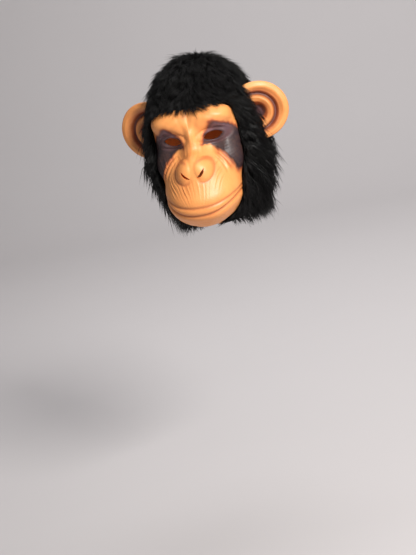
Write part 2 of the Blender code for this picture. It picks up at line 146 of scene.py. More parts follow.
# How far the innermost ring lies towards the head and down, as shares of the ear's radii,
# and the gap in metres between the ear and the skull that it is cut to.
EAR_SHIFT = (0.18, 0.12)
EAR_GAP = 0.0003
SHIFT_GUESSES = 12

# Height of the ear's front, as shares of the cup's depth, at shares of its radius.
Ring = namedtuple("Ring", "out height")
EAR_FRONT = (
    Ring(0.00, -1.00), Ring(0.15, -0.95), Ring(0.26, -0.80), Ring(0.42, -0.10),
    Ring(0.52, 0.02), Ring(0.64, -0.42), Ring(0.73, 0.05), Ring(0.86, 0.28),
    Ring(0.96, 0.18), Ring(1.00, 0.00),
)
EAR_BACK = (
    Ring(1.00, -0.12), Ring(0.97, -0.24), Ring(0.86, -0.32), Ring(0.50, -0.85),
    Ring(0.20, -1.00), Ring(0.00, -1.02),
)

# Room for an ear: a share of its radii, and heights before and behind it as shares of its
# cup's depth. The backing is cut by the first, and no tuft has its root in the second.
Slab = namedtuple("Slab", "out front back")
EAR_SLOT = Slab(1.02, 0.40, -1.05)
EAR_CLEAR = Slab(1.03, 0.45, -1.15)
SLOT_SIDES = 48

# Openings: slants in degrees, the nostrils' bow in metres, and how far their tools reach
# along Y, as shares of the head's depth. The window's cone reaches by shares of its width.
EYE_SLANT, NOSTRIL_SLANT, NOSTRIL_BOW = 8.0, 45.0, -0.0022
TOOL_REACH = (-0.95, -0.15)
WINDOW_REACH = (0.15, 1.6)

# The pile: where the crown's and the back's pieces begin, in degrees, the hem below the
# rim and its raggedness in metres, and the length that keeps a strand round.
CROWN_TILT, BACK_BEARING = 38.0, 118.0
HEM_BELOW, HEM_RAGGED = 0.008, 0.014
STRAND_LENGTH = 0.03

# How deep a strand's root sits in the backing, in metres, and the corners of its faces:
# a ring of three at the root, a ring of three half way, and the point.
ROOT_SINK = 0.0006
STRAND_CORNERS = 7
STRAND_FACES = (
    (0, 1, 2), (0, 4, 1), (0, 3, 4), (1, 5, 2), (1, 4, 5),
    (2, 3, 0), (2, 5, 3), (3, 6, 4), (4, 6, 5), (5, 6, 3),
)

# The stage: heights and lengths of the backdrop in metres, the lamps, and the picture.
FLOOR, WALL_AT, BEND, WALL_HIGH, NEAR_EDGE, HALF_WIDE = -0.75, 2.2, 1.0, 3.5, -4.0, 5.0
SWEEP_ROWS, SWEEP_COLUMNS = 60, 24
Lamp = namedtuple("Lamp", "name place power size tint target")
LAMPS = (
    Lamp("key", (1.15, -1.25, 0.90), 56.0, 0.55, (1.0, 0.98, 0.95), (0.0, 0.0, -0.12)),
    Lamp("fill", (-1.6, -1.2, 0.3), 2.2, 1.4, (1.0, 0.98, 0.97), (0.0, 0.0, -0.12)),
    Lamp("top", (0.2, 0.6, 1.5), 8.0, 1.0, (1.0, 1.0, 1.0), (0.0, 0.0, -0.12)),
    Lamp("wall", (0.0, 1.0, 1.6), 40.0, 2.0, (1.0, 1.0, 1.0), (0.0, 3.0, 0.0)),
)
WORLD_TINT = (1.0, 0.98, 0.98, 1.0)
WORLD_STRENGTH = 0.19
PICTURE = (416.0, 555.0)
ANCHOR_PIXEL = (203.2, 123.0)


def length(name, value, note):
    """Property for a length in metres."""
    return FloatProperty(
        name=name, description=note, default=value, unit="LENGTH", subtype="DISTANCE"
    )


def angle(name, value, note):
    """Property for an angle, given in degrees."""
    return FloatProperty(name=name, description=note, default=np.radians(value), subtype="ANGLE")


def colour(name, value, note):
    """Property for a colour."""
    return FloatVectorProperty(
        name=name, description=note, default=value, size=3, min=0.0, max=1.0, subtype="COLOR"
    )


class HeadSizes(bpy.types.PropertyGroup):
    width: length("Width", 0.160, "Across the latex skull")
    depth: length("Depth", 0.206, "Nape to forehead")
    height: length("Height", 0.253, "Crown to chin")
    wall: length("Wall", 0.002, "Thickness of the latex")
    neck_width: length("Neck width", 0.122, "Across the open neck")
    neck_depth: length("Neck depth", 0.152, "Front to back of the open neck")
    neck_skirt: length("Neck skirt", 0.008, "How far the neck runs on below the chin")
    eye_width: length("Eye width", 0.030, "Length of an eye opening")
    eye_height: length("Eye height", 0.014, "Height of an eye opening")
    eye_spread: length("Eye spread", 0.066, "Between the middles of the eye openings")
    nose_width: length("Nose width", 0.062, "Across the two wings of the nose")
    nose_rise: length("Nose rise", 0.0095, "How far the nose stands out")
    nostril_length: length("Nostril length", 0.0195, "Length of a nostril slit")
    nostril_width: length("Nostril width", 0.0047, "Width of a nostril slit")
    nostril_spread: length("Nostril spread", 0.024, "Between the middles of the slits")
    lip_crease: length("Lip crease", 0.0027, "Depth of the line between the lips")
    wrinkle: length("Wrinkle", 0.0007, "Height of the fine wrinkles")


class EarSizes(bpy.types.PropertyGroup):
    width: length("Width", 0.100, "Of the whole round ear, part of which the head hides")
    height: length("Height", 0.094, "Top to lobe")
    standoff: length("Standoff", 0.013, "From the side of the skull to the middle of the ear")
    cup: length("Cup", 0.014, "Depth of the bowl")
    wall: length("Wall", 0.003, "Thickness of the latex")
    flare: angle("Flare", 17.0, "How far the ear turns to face outwards")
    sides: IntProperty(name="Sides", description="Steps round the ear", default=120)
    rings: IntProperty(name="Rings", description="Steps from the middle to the rim", default=56)


class FurSizes(bpy.types.PropertyGroup):
    gap: length("Gap", 0.0009, "Between the latex and the backing")
    backing: length("Backing", 0.002, "Thickness of the woven backing")
    crown_length: length("Crown length", 0.024, "Length of the hair on the crown")
    cheek_length: length("Cheek length", 0.040, "Length of the hair on the cheeks and neck")
    hair_radius: length("Hair radius", 0.00040, "Radius of a strand at its root")
    tuft_radius: length("Tuft radius", 0.0034, "Radius of a tuft at its roots")
    tufts: IntProperty(name="Tufts", description="Tufts spread over the whole head", default=9000)
    hairs: IntProperty(name="Hairs", description="Strands in each tuft", default=17)
    seed: IntProperty(name="Seed", description="Draw of the tufts", default=11)


class MaskColours(bpy.types.PropertyGroup):
    tan: colour("Tan", (0.90, 0.368, 0.108), "Latex of the face")
    deep_tan: colour("Deep tan", (0.80, 0.235, 0.055), "Warmer patches of the latex")
    # Darker brown along the face's creases, the lip line and the dips of its wrinkles; in the
    # ears, painted shade in the bowl and brown streaks beside the groove.
    crease: colour("Crease", (0.34, 0.070, 0.020), "Paint rubbed into the creases")
    red: colour("Red", (0.34, 0.045, 0.020), "Paint round the sockets and in the ears")
    purple: colour("Purple", (0.021, 0.010, 0.015), "Paint in the sockets and ear grooves")
    # Painted sheen: paler purple on the upper lids, round the eye openings, along the ears'
    # grooves and on their canals.
    painted_sheen: colour("Mauve", (0.175, 0.085, 0.100), "Paler paint on the lids")
    fur: colour("Fur", (0.0022, 0.0021, 0.0022), "Black pile")
    # Paler strands and tips: tone that differs at random, and on the pile's tips partly a painted
    # sheen.
    fur_tip: colour("Fur tip", (0.019, 0.018, 0.018), "Paler strands")
    backdrop: colour("Backdrop", (0.56, 0.535, 0.54), "Floor and wall")


class CameraPlace(bpy.types.PropertyGroup):
    azimuth: angle("Azimuth", 13.5, "How far the camera stands to the mask's left")
    elevation: angle("Elevation", 8.0, "How far the camera looks down")
    roll: angle("Roll", 12.3, "How far the head leans in the picture")
    distance: length("Distance", 2.6, "From the camera to the mask")
    scale: FloatProperty(name="Scale", description="Millimetres for each pixel", default=1.62)


def level(head, drop):
    """Height of a place that lies a share of the head's height below its crown."""
    return head.wall - drop * head.height


def core(head):
    """The point that the rays shaping the head start from."""
    return np.array((0.0, -CORE_FORWARD * head.depth, level(head, CORE_DOWN)))


def rim_level(head):
    """Height of the open lower edge of the neck."""
    return level(head, 1.0) - head.neck_skirt


def ramp(start, end, value):
    """Smooth step from 0 at start to 1 at end: 3 t squared less 2 t cubed."""
    share = held((value - start) / (end - start))
    return share * share * (3.0 - 2.0 * share)


def bell(distance, width):
    """Gauss curve: 1 in the middle, falling away over a width."""
    return np.exp(-((distance / width) ** 2))


def held(value):
    """A value kept from 0 to 1."""
    return np.clip(value, 0.0, 1.0)


def melt(first, second, blend):
    """Polynomial smooth minimum: the lower distance, with a fillet where both meet."""
    share = held(0.5 + 0.5 * (second - first) / blend)
    return second + (first - second) * share - blend * share * (1.0 - share)


def oval_distance(offsets, radii):
    """Scaled length times itself less one, over its slope: about 0 on the ellipsoid."""
    scaled = offsets / radii
    reach = np.sqrt((scaled * scaled).sum(-1))
    slope = np.sqrt(((scaled / radii) ** 2).sum(-1))
    return reach * (reach - 1.0) / np.maximum(slope, 1e-6)


def form_distance(head, points, form):
    """Distance from one form, or from the nearer of a mirrored pair."""
    centre = np.array((form.side * head.width, -form.forward * head.depth, level(head, form.drop)))
    radii = np.array((form.wide * head.width, form.deep * head.depth, form.high * head.height))
    spots = points.copy()
    if form.paired:
        spots[..., 0] = np.abs(spots[..., 0])
    return oval_distance(spots - centre, radii)


def neck_distance(head, points):
    """Distance from the upright elliptic tube of the neck, open at its lower end."""
    middle = np.array((0.0, NECK_BACK * head.depth))
    radii = np.array((head.neck_width / 2.0, head.neck_depth / 2.0))
    around = oval_distance(points[..., :2] - middle, radii)
    return np.maximum(around, points[..., 2] - level(head, NECK_TOP))


def head_distance(head, points):
    """All swells melted together by smooth minimum, less the sockets by smooth maximum."""
    distance = form_distance(head, points, SWELLS[0])
    for form in SWELLS[1:]:
        distance = melt(distance, form_distance(head, points, form), form.blend * head.width)
    distance = melt(distance, neck_distance(head, points), NECK_BLEND * head.width)
    hollow = form_distance(head, points, SOCKET)
    return -melt(-distance, hollow, SOCKET.blend * head.width)


def outward(head, points):
    """Unit gradient of the head's distance, by central differences."""
    slopes = []
    for axis in np.eye(3) * SLOPE_STEP:
        slopes.append(head_distance(head, points + axis) - head_distance(head, points - axis))
    slopes = np.stack(slopes, -1)
    return slopes / np.linalg.norm(slopes, axis=-1)[..., None]


def ray(bearing, tilt):
    """Unit direction: bearing 0 is straight ahead, tilt 90 straight up."""
    turn, rise = np.radians(bearing), np.radians(tilt)
    return np.stack((np.sin(turn) * np.cos(rise), -np.cos(turn) * np.cos(rise), np.sin(rise)), -1)


def head_surface(head, bearing, tilt, offset):
    """Sphere tracing inwards along rays from the core to the head grown by an offset."""
    direction = ray(bearing, tilt)
    start = core(head)
    reach = np.full(direction.shape[:-1], 1.1 * head.height)
    reach = np.where(np.asarray(tilt) < -50.0, 3.0 * head.height, reach)
    for _ in range(TRACE_STEPS):
        points = start + direction * reach[..., None]
        reach = reach - TRACE_SHARE * (head_distance(head, points) - offset)
    return start + direction * reach[..., None]


def rim_tilt(head, bearing, offset, rim):
    """Tilt at which the surface comes down to the level of a rim, by halving."""
    low, high = (np.full(bearing.shape, tilt) for tilt in RIM_TILTS)
    for _ in range(RIM_HALVINGS):
        middle = (low + high) / 2.0
        above = head_surface(head, bearing, middle, offset)[..., 2] > rim
        high = np.where(above, middle, high)
        low = np.where(above, low, middle)
    return (low + high) / 2.0


def span_angles(start, spans):
    """Angles from a start through every span, evenly stepped within each."""
    angles = [np.array([start])]
    for span in spans:
        angles.append(np.linspace(angles[-1][-1], span.end, span.steps + 1)[1:])
    return np.concatenate(angles)


def head_grid(head, offset, column_spans, row_spans, rim_rows):
    """Bearings, tilts and points of the head from the crown's pole down to its rim."""
    half = span_angles(0.0, column_spans)
    bearing = np.concatenate((half, -half[-2:0:-1]))
    upper = span_angles(90.0, row_spans)[1:]
    last = rim_tilt(head, bearing, offset, rim_level(head))
    share = np.arange(1, rim_rows + 1)[:, None] / rim_rows
    lower = upper[-1] + (last - upper[-1]) * share
    tilt = np.concatenate((np.repeat(upper[:, None], len(bearing), 1), lower))
    bearing = np.repeat(bearing[None], len(tilt), 0)
    pole = head_surface(head, np.zeros(1), np.full(1, 90.0), offset)
    return bearing, tilt, head_surface(head, bearing, tilt, offset), pole


def grid_quads(rows, columns):
    """Corner numbers of the cells between rows of points that form closed loops."""
    row, column = np.meshgrid(np.arange(rows - 1), np.arange(columns), indexing="ij")
    after = (column + 1) % columns
    quads = np.stack((row * columns + column, (row + 1) * columns + column,
                      (row + 1) * columns + after, row * columns + after), -1)
    return quads.reshape(-1, 4)


def fan(pole, loop):
    """Triangles from a pole to a loop."""
    return np.stack((np.full(len(loop), pole), loop, np.roll(loop, -1)), -1)


def mesh_from(name, verts, face_groups):
    """Mesh from an array of points and arrays of faces, each with its own corner count."""
    counts = [np.full(len(group), group.shape[1]) for group in face_groups]
    corners = np.concatenate([group.ravel() for group in face_groups])
    totals = np.concatenate(counts)
    starts = np.concatenate(([0], np.cumsum(totals)[:-1]))
    mesh = bpy.data.meshes.new(name)
    mesh.vertices.add(len(verts))
    mesh.vertices.foreach_set("co", np.asarray(verts, dtype=np.float32).ravel())
    mesh.loops.add(len(corners))
    mesh.loops.foreach_set("vertex_index", corners.astype(np.int32))
    mesh.polygons.add(len(totals))
    mesh.polygons.foreach_set("loop_start", starts.astype(np.int32))
    mesh.update(calc_edges=True)
    mesh.validate()
    mesh.shade_smooth()
    return mesh


def add_piece(name, mesh):
    """Object at the origin that holds a mesh."""
    item = bpy.data.objects.new(name, mesh)
    bpy.context.scene.collection.objects.link(item)
    return item


def solid_from_grid(name, points, pole, drop):
    """Closed solid inside a grid, run on straight down by a drop to a flat floor."""
    points = np.concatenate((points, points[-1:] - np.array((0.0, 0.0, drop))))
    rows, columns = points.shape[:2]
    last = np.arange((rows - 1) * columns, rows * columns)
    middle = points[-1].mean(0)[None]
    verts = np.concatenate((points.reshape(-1, 3), pole, middle))
    count = rows * columns
    faces = [grid_quads(rows, columns), fan(count, np.arange(columns)), fan(count + 1, last[::-1])]
    return mesh_from(name, verts, faces)


def cut(item, tools):
    """Take closed tools away from a piece, and keep the result as the piece's own mesh."""
    for tool in tools:
        step = item.modifiers.new(tool.name, "BOOLEAN")
        step.operation = "DIFFERENCE"
        step.solver = "MANIFOLD"
        step.object = tool
    graph = bpy.context.evaluated_depsgraph_get()
    result = bpy.data.meshes.new_from_object(item.evaluated_get(graph))
    item.modifiers.clear()
    result.materials.clear()
    old, item.data = item.data, result
    result.name = old.name
    bpy.data.meshes.remove(old)
    for tool in tools:
        spare = tool.data
        bpy.data.objects.remove(tool, do_unlink=True)
        bpy.data.meshes.remove(spare)
    result.shade_smooth()
    result.set_sharp_from_angle(angle=np.radians(SHARP_ANGLE))


def tube(name, near, far, ends=None, flip=False):
    """Closed tool between two loops of as many points, each capped by a fan from its middle."""
    count = len(near)
    loop = np.arange(count)
    after = np.roll(loop, -1)
    ends = np.stack((near.mean(0), far.mean(0))) if ends is None else ends
    sides = np.stack((after, loop, count + loop, count + after), -1)
    faces = [fan(2 * count, loop), fan(2 * count + 1, count + loop[::-1]), sides]
    if flip:
        faces = [group[:, ::-1] for group in faces]
    return add_piece(name, mesh_from(name, np.concatenate((near, far, ends)), faces))


def vertex_points(mesh):
    """Array of a mesh's points."""
    points = np.empty(len(mesh.vertices) * 3, dtype=np.float32)
    mesh.vertices.foreach_get("co", points)
    return points.reshape(-1, 3).astype(float)


def store(mesh, name, values):
    """Keep one number for each vertex, for the material to read."""
    attribute = mesh.attributes.new(name, "FLOAT", "POINT")
    attribute.data.foreach_set("value", np.asarray(values, dtype=np.float32))


def wave_noise(points, size, seed):
    """Sum of six sine waves in fixed random directions: a soft noise from -1 to 1."""
    draw = np.random.default_rng(seed)
    total = np.zeros(points.shape[:-1])
    for _ in range(NOISE_WAVES):
        direction = draw.normal(size=3)
        direction /= np.linalg.norm(direction)
        total += np.sin(points @ direction * (TURN / size) + draw.uniform(0.0, 6.28))
    return total / (NOISE_WAVES / 2.0)


def ripples(along, waves):
    """Sum of sines: each one's gain times the sine of its turns along, plus its shift."""
    return sum(wave.gain * np.sin(TURN * wave.turns * along + wave.shift) for wave in waves)


class Skin:
    """Points of the skin, and the face's features at each of them: places across the face,
    heights in metres, and shares of paint."""

    def __init__(self, head, points):
        self.head, self.points = head, points
        self.x, self.z = points[..., 0], points[..., 2]
        self.side = np.abs(self.x)
        self.share = self.side / head.width
        self.socket, self.pad = self.socket_ring(), self.pad_ring()
        self.lid, self.wing = self.lid_ring(), self.wing_ring()
        self.above, self.over_fold = self.lip_gaps()
        self.pad_edge = ramp(0.17, 0.24, self.share) * self.fade(0.70, 0.64)

    def noise(self, size, seed):
        """Soft noise at the points."""
        return wave_noise(self.points, size, seed)

    def over(self, drop):
        """Metres above a level, given by its drop below the crown."""
        return self.z - level(self.head, drop)

    def fade(self, start, end):
        """Smooth step by height, from 0 at one drop below the crown to 1 at another."""
        return ramp(level(self.head, start), level(self.head, end), self.z)

    def socket_ring(self):
        """Leaning distance from the middle of a socket, 1 on its painted edge: an ellipse below
        the middle, and a rounded lozenge above it."""
        height = self.over(SOCKET_OVAL.drop)
        lean = np.where(height > 0.0, *SOCKET_LEAN)
        side = self.side - SOCKET_OVAL.side * self.head.width + lean * height
        across = np.abs(side) / (SOCKET_OVAL.wide * self.head.width)
        rise = np.abs(height) / (SOCKET_OVAL.high * self.head.height)
        power = np.where(height > 0.0, *SOCKET_POWER)
        return (across ** power + rise ** power) ** (1.0 / power)

    def pad_ring(self):
        """Elliptic distance from the middle of the muzzle: 1 where its dome starts to rise."""
        height = self.over(MUZZLE_OVAL.drop) / self.head.height
        return np.hypot(self.share / MUZZLE_OVAL.wide, height / MUZZLE_OVAL.high)

    def lid_ring(self):
        """Elliptic distance from the middle of an eye opening: 1 on its edge."""
        side = (self.side - self.head.eye_spread / 2.0) / (self.head.eye_width / 2.0)
        return np.hypot(side, self.over(EYE_DROP) / (self.head.eye_height / 2.0))

    def wing_ring(self):
        """Elliptic distance from the middle of a nose wing: 1 on its outline."""
        side = self.side / self.head.nose_width - WING_OVAL.side
        height = self.over(WING_OVAL.drop) / self.head.nose_width
        return np.hypot(side / WING_OVAL.wide, height / WING_OVAL.high)

    def wing_gap(self, ring):
        """Metres from one of the rings round a nose wing."""
        return (self.wing - ring) * WING_STEP * self.head.nose_width

    def lip_gaps(self):
        """Metres above the line between the lips, and above the fold over the upper lip. The
        line is lowest in the middle and rises by a power of its share towards the corners."""
        share = self.share / LIP_REACH
        rise = LIP_RISE * self.head.height * np.clip(share, 0.0, 1.3) ** 2.3
        above = self.z - (level(self.head, LIP_DROP) + rise - LIP_LEAN * self.x)
        return above, above - FOLD_ABOVE + FOLD_CLOSER * np.clip(share, 0.0, 1.2) ** 2

    def nose(self):
        """Bridge, tip and two wings, the wings as rounded domes with a crease round them."""
        side = self.side / self.head.nose_width
        height = self.over(TIP_DROP) / self.head.nose_width
        bridge = bell(side, 0.11 + 0.14 * self.fade(0.38, 0.60))
        bridge = bridge * self.fade(0.324, 0.424) * self.fade(0.660, 0.564)
        tip = bell(side, 0.22) * bell(height, 0.24)
        dome = held(1.0 - self.wing ** 2.2) ** 1.35
        crease = bell(self.wing_gap(1.06), 0.0026) * ramp(0.04, 0.16, side)
        flare = bell(self.wing_gap(0.82), 0.004)
        domes = 0.85 * bridge + 0.80 * tip + 0.80 * dome
        return self.head.nose_rise * (domes + 0.08 * flare - 0.06 * crease)

    def lips(self):
        """A deep line between two rolls, and a shallower fold above the upper lip."""
        rolls = 0.40 * bell(self.above - 0.0058, 0.0042)
        rolls = rolls + 0.50 * bell(self.above + 0.0064, 0.0054)
        swell = 0.30 * bell(self.over_fold - 0.009, 0.009)
        fold = 0.55 * bell(self.over_fold, 0.0021) * ramp(0.42, 0.36, self.share)
        mouth = (rolls + swell - bell(self.above, 0.0016)) * ramp(0.405, 0.35, self.share)
        return self.head.lip_crease * (mouth - fold)

    def lids(self):
        """A rounded lid standing out round each eye opening, with a fold outside it."""
        radius = self.head.eye_height / 2.0
        fold = bell((self.lid - 1.75) * radius, 0.0016)
        return 0.0022 * bell((self.lid - 1.18) * radius, 0.0022) - 0.0010 * fold

    def sockets(self):
        """A soft fold over the eye, and the step where the muzzle's dome starts to rise."""
        fold = bell((self.socket - 0.86) * 0.165 * self.head.height, 0.0032)
        step = ramp(1.07, 0.98, self.pad) * ramp(0.70, 0.95, self.pad) * self.pad_edge
        return 0.0018 * fold * self.fade(0.44, 0.38) + 0.0016 * step

    def pad_lines(self):
        """Wrinkles that climb from the upper lip, spread past the nose and on to the eyes."""
        low, high = level(self.head, 0.850), level(self.head, 0.500)
        climb = held((self.z - low) / (high - low))
        lane = self.x / (0.40 * self.head.width * (0.24 + 0.76 * climb ** 0.62))
        lane = lane + 0.060 * self.noise(0.060, 3) + 0.025 * self.noise(0.022, 4)
        zone = ramp(0.02, 0.12, climb) * ramp(1.0, 0.72, climb)
        zone = zone * ramp(1.00, 1.35, self.wing) * ramp(1.18, 0.98, np.abs(lane))
        gain = 0.70 - 0.05 * ramp(-0.02, 0.02, self.x / self.head.width)
        patch = np.clip(0.60 + 0.8 * self.noise(0.040, 5), 0.05, 1.4)
        middle = 0.35 + 0.65 * ramp(0.10, 0.40, np.abs(lane))
        return ripples(lane, MUZZLE_WAVES) * zone * gain * patch * middle

    def pad_arcs(self):
        """Folds side by side along the upper outer edge of the muzzle."""
        pad = self.pad + 0.012 * self.noise(0.030, 8)
        return np.cos((pad - 1.0) * TURN * ARC_TURNS) * bell(pad - 0.90, 0.11) * self.pad_edge

    def socket_lines(self):
        """Wrinkles in rings round the eyes, off the muzzle's dome."""
        ring = self.lid + 0.15 * self.noise(0.030, 7)
        zone = ramp(1.6, 2.2, ring) * ramp(1.25, 0.85, self.socket)
        return ripples(ring, SOCKET_WAVES) * zone * ramp(0.98, 1.10, self.pad)

    def brow_lines(self):
        """Upright furrows between the brows, and soft slanting folds over them."""
        zone = self.fade(0.400, 0.365) * self.fade(0.245, 0.285)
        pair = 0.7 * bell(self.side - (0.011 + 0.30 * self.over(0.36)), 0.0034)
        furrows = (bell(self.x - 0.002, 0.0036) + pair) * zone
        climb = (self.z + 0.55 * self.side) * TURN / SLANT_PITCH
        slant = np.sin(climb + self.noise(0.04, 9)) * self.fade(0.42, 0.36)
        return 0.16 * (slant * ramp(0.06, 0.14, self.share)) - 0.40 * furrows

    def chin_lines(self):
        """Low arcs under the lower lip, side to side."""
        below = -self.above
        waves = np.sin((below + 0.02 * self.noise(0.06, 12)) * TURN / LINE_PITCH)
        return waves * ramp(0.010, 0.016, below) * ramp(0.40, 0.25, self.share)

    def bridge_lines(self):
        """Short creases along the bridge of the nose."""
        zone = self.fade(0.38, 0.44) * self.fade(0.60, 0.54) * ramp(0.13, 0.07, self.share)
        return np.cos(self.side * TURN / LINE_PITCH) * zone

    def relief(self):
        """Sum of every feature's height, none on the sides of the head. Dips are held above
        the deepest crease by a hyperbolic tangent."""
        lines = sum(gain * waves for gain, waves in (
            (0.85, self.pad_lines()), (1.35, self.pad_arcs()), (0.108, self.socket_lines()),
            (0.50, self.chin_lines()), (0.20, self.bridge_lines()),
        ))
        height = self.nose() + self.lips() + self.lids() + self.sockets()
        height = height + self.head.wrinkle * lines + 0.0015 * self.brow_lines()
        height = height + 0.0006 * self.noise(0.050, 21)
        height = np.where(height < 0.0, CREASE_LIMIT * np.tanh(height / CREASE_LIMIT), height)
        y, depth = self.points[..., 1], self.head.depth
        return height * ramp(-0.19 * depth, -0.34 * depth, y)

    def paint(self):
        """Shares of purple paint, of paler purple that is a painted sheen on the lids, of red
        paint, and of darker brown along the creases, from the features' own places.
        """
        y, depth = self.points[..., 1], self.head.depth
        front = ramp(-0.10 * depth, -0.22 * depth, y)
        rough = 0.05 * self.noise(0.024, 31) + 0.02 * self.noise(0.008, 32)
        ring, pad = self.socket + rough, self.pad + 0.4 * rough
        purple = ramp(1.08, 0.95, ring) * ramp(0.99, 1.06, pad) * front
        # Painted sheen: paler purple on the upper lid band and round the eye openings, only where
        # the purple is.
        upper = bell(ring - 0.86, 0.10) * self.fade(0.46, 0.40)
        painted_sheen = held(upper + 0.5 * bell(self.lid - 1.5, 0.4))
        edge = bell((ring - 1.02) * SOCKET_STEP, 0.0026) * ramp(0.96, 1.04, pad)
        arcs = bell((pad - 1.01) * MUZZLE_STEP, 0.0024)
        arcs = (arcs + 0.5 * bell((pad - 0.92) * MUZZLE_STEP, 0.0016)) * self.pad_edge
        outline = ramp(0.05, 0.20, self.side / self.head.nose_width)
        outline = outline * bell(self.wing_gap(1.05), 0.0020)
        inside = ramp(0.43, 0.38, self.share)
        fold, line = bell(self.over_fold, 0.0021) * inside, bell(self.above, 0.0018) * inside
        red = held(edge + 0.90 * arcs + 0.60 * outline + 0.40 * line + 0.12 * fold) * front
        dips = sum(gain * held(-waves) for gain, waves in (
            (0.46, self.pad_lines()), (0.20, self.brow_lines()),
            (0.55, self.pad_arcs()), (0.15, self.bridge_lines()),
        ))
        crease = held(0.60 * fold + 0.55 * line + dips) * front
        return {"purple": purple, "painted_sheen": painted_sheen * purple, "red": red, "crease": crease}


class Wire:
    """A shader value: arithmetic on it adds Math nodes to its tree."""

    def __init__(self, bench, socket):
        self.bench = bench
        self.socket = socket

    def math(self, operation, other, **settings):
        """One Math node on this value and another."""
        settings["operation"] = operation
        return self.bench.node("ShaderNodeMath", settings, (self, other))

    def __add__(self, other):
        return self.math("ADD", other)

    __radd__ = __add__

    def __mul__(self, other):
        return self.math("MULTIPLY", other)

    __rmul__ = __mul__

    def clamp(self):
        """The value kept from 0 to 1."""
        return self.math("MULTIPLY", 1.0, use_clamp=True)


class Bench:
    """The node tree of one material."""

    def __init__(self, name):
        self.material = bpy.data.materials.new(name)
        self.material.use_nodes = True
        self.tree = self.material.node_tree
        self.shader = self.tree.nodes["Principled BSDF"]

    def node(self, kind, settings=None, inputs=(), output=0):
        """Any node: its settings first, then its inputs by number or by name."""
        item = self.tree.nodes.new(kind)
        for key, value in (settings or {}).items():
            setattr(item, key, value)
        pairs = inputs.items() if isinstance(inputs, dict) else enumerate(inputs)
        for key, value in pairs:
            self.join(value, item.inputs[key])
        return Wire(self, item.outputs[output])

    def join(self, value, socket):
        """Link a shader value to a socket, or set a plain one on it."""
        if isinstance(value, Wire):
            self.tree.links.new(value.socket, socket)
        elif value is not None:
            socket.default_value = value

    def place(self):
        """Object coordinates."""
        return self.node("ShaderNodeTexCoord", output="Object")

    def stored(self, name):
        """A number that the mesh keeps for each vertex."""
        return self.node("ShaderNodeAttribute", {"attribute_name": name}, output="Fac")

    def noise(self, scale, detail=3.0, roughness=0.55):
        """Cloudy noise on Object coordinates, from 0 to 1."""
        inputs = {"Vector": self.place(), "Scale": scale, "Detail": detail, "Roughness": roughness}
        return self.node("ShaderNodeTexNoise", {}, inputs, "Fac")

    def spread(self, value, low, high):
        """Map low to 0 and high to 1, held between them."""
        return self.node("ShaderNodeMapRange", {"clamp": True}, {"Value": value, 1: low, 2: high})

    def blend(self, share, first, second):
        """Mix of two colours."""
        settings = {"data_type": "RGBA", "blend_type": "MIX"}
        first = (*first, 1.0) if isinstance(first, tuple) else first
        second = (*second, 1.0) if isinstance(second, tuple) else second
        return self.node("ShaderNodeMix", settings, {0: share, 6: first, 7: second}, 2)

    def bump(self, height, distance, strength, under=None):
        """Bumps of a height, over those of another bump where one is given."""
        inputs = {"Strength": strength, "Distance": distance, "Height": height, "Normal": under}
        return self.node("ShaderNodeBump", {}, inputs)

    def finish(self, **inputs):
        """Set or link the shader's sockets; underscores in names stand for spaces."""
        for key, value in inputs.items():
            if isinstance(value, tuple) and len(value) == 3:
                value = (*value, 1.0)
            self.join(value, self.shader.inputs[key.replace("_", " ")])
        return self.material


def latex_material(name, colours):
    """Tan latex: blotched ground, brown in its creases, red and purple paint over it, and paler
    purple over the purple as a painted sheen.
    """
    bench = Bench(name)
    blotches = bench.spread(bench.noise(26.0, 4.0, 0.6), 0.38, 0.68)
    mottle = bench.spread(bench.noise(160.0, 3.0, 0.6), 0.35, 0.75)
    ground = bench.blend(blotches * 0.42, tuple(colours.tan), tuple(colours.deep_tan))
    ground = bench.blend(mottle * 0.14, ground, tuple(colours.deep_tan))
    ground = bench.blend((bench.stored("crease") * 0.85).clamp(), ground, tuple(colours.crease))
    ground = bench.blend((bench.stored("red") * 0.80).clamp(), ground, tuple(colours.red))
    worn = bench.spread(bench.noise(90.0, 4.0, 0.65), 0.30, 0.62)
    purple = (bench.stored("purple") * (0.955 + worn * 0.045)).clamp()
    # Painted sheen: paler purple mixed into the purple paint.
    dark = bench.blend(bench.stored("painted_sheen").clamp(), tuple(colours.purple), tuple(colours.painted_sheen))
    ground = bench.blend(purple, ground, dark)
    grain = bench.noise(520.0, 2.0, 0.5)
    cells = {"Vector": bench.place(), "Scale": 430.0}
    pores = bench.node("ShaderNodeTexVoronoi", {}, cells, "Distance")
    soft = bench.bump(grain, 0.00035, 0.55)
    rough = 0.40 + bench.noise(70.0, 2.0) * 0.18 + bench.stored("purple") * 0.08
    return bench.finish(
        Base_Color=ground, Roughness=rough, Normal=bench.bump(pores, 0.00025, 0.35, soft),
        Coat_Weight=0.20, Coat_Roughness=0.38,
    )


def fur_material(name, colours):
    """Black pile: strands differ in tone at random, the paler ones rougher, and each grows paler
    towards its tip, partly the pile's own tips and partly a painted sheen.
    """
    bench = Bench(name)
    tone = (bench.stored("tone") * (0.45 + 0.55 * bench.stored("along"))).clamp()
    shade = bench.blend(tone, tuple(colours.fur), tuple(colours.fur_tip))
    rough = 0.46 + bench.stored("tone") * 0.16
    return bench.finish(Base_Color=shade, Roughness=rough, Specular_IOR_Level=0.28)


def backing_material(name, colours):
    """Black knitted backing: rows of small loops as bump."""
    bench = Bench(name)
    knit = bench.node("ShaderNodeTexWave", {"wave_type": "BANDS"}, {
        "Vector": bench.place(), "Scale": 260.0, "Distortion": 2.0, "Detail": 1.0,
    }, "Fac")
    shade = bench.blend(bench.noise(60.0) * 0.12, tuple(colours.fur), tuple(colours.fur_tip))
    loops = bench.bump(knit, 0.0004, 0.6)
    return bench.finish(Base_Color=shade, Roughness=0.9, Specular_IOR_Level=0.08, Normal=loops)


